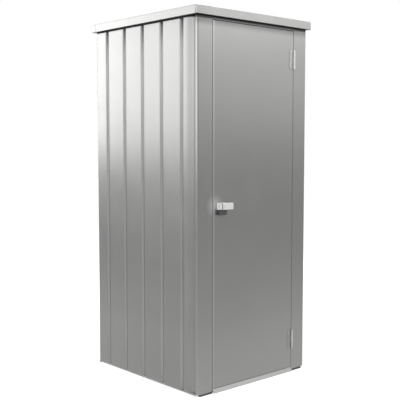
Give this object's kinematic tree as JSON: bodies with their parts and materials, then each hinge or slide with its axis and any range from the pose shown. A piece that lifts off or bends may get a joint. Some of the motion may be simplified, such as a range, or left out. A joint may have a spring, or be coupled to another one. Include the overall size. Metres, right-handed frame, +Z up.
{
  "type": "patio storage cabinet",
  "caption": "Tall sheet-steel outdoor storage cabinet with grooved walls, flat roof with a rear gutter, hinged door with a lever that drives locking rods, and inside shelves.",
  "frame": {"origin": "centre of the footprint, on the ground", "axes": "+Z up, +Y to the rear, the door faces -Y"},
  "size_m": [0.79, 0.864, 1.825],
  "materials": {
    "silver_metallic_paint": "satin metallic coat",
    "galvanised_steel": "dull zinc coat",
    "plain_steel": "bright zinc plated",
    "satin_aluminium": "satin",
    "plated_brass": "nickel plated",
    "dark_plastic": "fine grain"
  },
  "bodies": {
    "carcass": {"base_rail_left": "silver_metallic_paint", "base_rail_right": "silver_metallic_paint", "base_rail_rear": "silver_metallic_paint", "foot_front_left": "dark_plastic", "foot_front_right": "dark_plastic", "foot_rear_left": "dark_plastic", "foot_rear_right": "dark_plastic", "floor_panel": "galvanised_steel", "wall_left": "silver_metallic_paint", "wall_right": "silver_metallic_paint", "wall_rear": "silver_metallic_paint", "post_left": "silver_metallic_paint", "post_right": "silver_metallic_paint", "head_strip": "dark_plastic", "lintel": "galvanised_steel", "keeper_upper": "galvanised_steel", "door_sill": "galvanised_steel", "top_rail_left": "galvanised_steel", "top_rail_right": "galvanised_steel", "top_rail_rear": "galvanised_steel", "fascia_left": "silver_metallic_paint", "fascia_right": "silver_metallic_paint", "fascia_front": "silver_metallic_paint", "fascia_gutter": "silver_metallic_paint", "roof_deck": "silver_metallic_paint", "shelf_1": "galvanised_steel", "shelf_2": "galvanised_steel", "shelf_3": "galvanised_steel", "shelf_rail_left_1": "galvanised_steel", "shelf_rail_left_2": "galvanised_steel", "shelf_rail_left_3": "galvanised_steel", "shelf_rail_right_1": "galvanised_steel", "shelf_rail_right_2": "galvanised_steel", "shelf_rail_right_3": "galvanised_steel", "hinge_lower_frame_leaf": "satin_aluminium", "hinge_upper_frame_leaf": "satin_aluminium", "hinge_lower_pin": "plain_steel", "hinge_upper_pin": "plain_steel"},
    "door": {"door_skin": "silver_metallic_paint", "door_stiffener_lower": "galvanised_steel", "door_stiffener_middle": "galvanised_steel", "door_stiffener_upper": "galvanised_steel", "tool_rail": "galvanised_steel", "tool_hook_1": "plain_steel", "tool_hook_2": "plain_steel", "tool_hook_3": "plain_steel", "handle_base": "satin_aluminium", "handle_shroud": "dark_plastic", "lock_plate": "galvanised_steel", "rod_guide_upper_1": "dark_plastic", "rod_guide_upper_2": "dark_plastic", "rod_guide_lower_1": "dark_plastic", "rod_guide_lower_2": "dark_plastic", "hinge_lower_door_leaf": "satin_aluminium", "hinge_upper_door_leaf": "satin_aluminium"},
    "handle": {"handle_lever": "satin_aluminium", "lock_pinion": "plain_steel"},
    "key_plug": {"lock_plug": "plated_brass"},
    "rod_upper": {"locking_rod_upper": "plain_steel"},
    "rod_lower": {"locking_rod_lower": "plain_steel"}
  },
  "joints": [
    {"name": "door_swing", "type": "hinge", "parent": "carcass", "child": "door", "pos_m": [0.2801, -0.407, 0.9], "axis": [0, 0, 1], "range_deg": [0, 110]},
    {"name": "handle_turn", "type": "hinge", "parent": "door", "child": "handle", "pos_m": [-0.227, -0.402, 0.899], "axis": [0, 1, 0], "range_deg": [0, 90]},
    {"name": "plug_turn", "type": "hinge", "parent": "handle", "child": "key_plug", "pos_m": [-0.227, -0.402, 0.899], "axis": [0, 1, 0], "range_deg": [0, 90]},
    {"name": "upper_rod_slide", "type": "slide", "parent": "door", "child": "rod_upper", "axis": [0, 0, 1], "range_m": [0, 0.0189]},
    {"name": "lower_rod_slide", "type": "slide", "parent": "door", "child": "rod_lower", "axis": [0, 0, -1], "range_m": [0, 0.0189]}
  ],
  "couplings": [
    {"joint": "upper_rod_slide", "follows": "handle_turn", "m_per_rad": 0.012},
    {"joint": "lower_rod_slide", "follows": "handle_turn", "m_per_rad": 0.012}
  ]
}
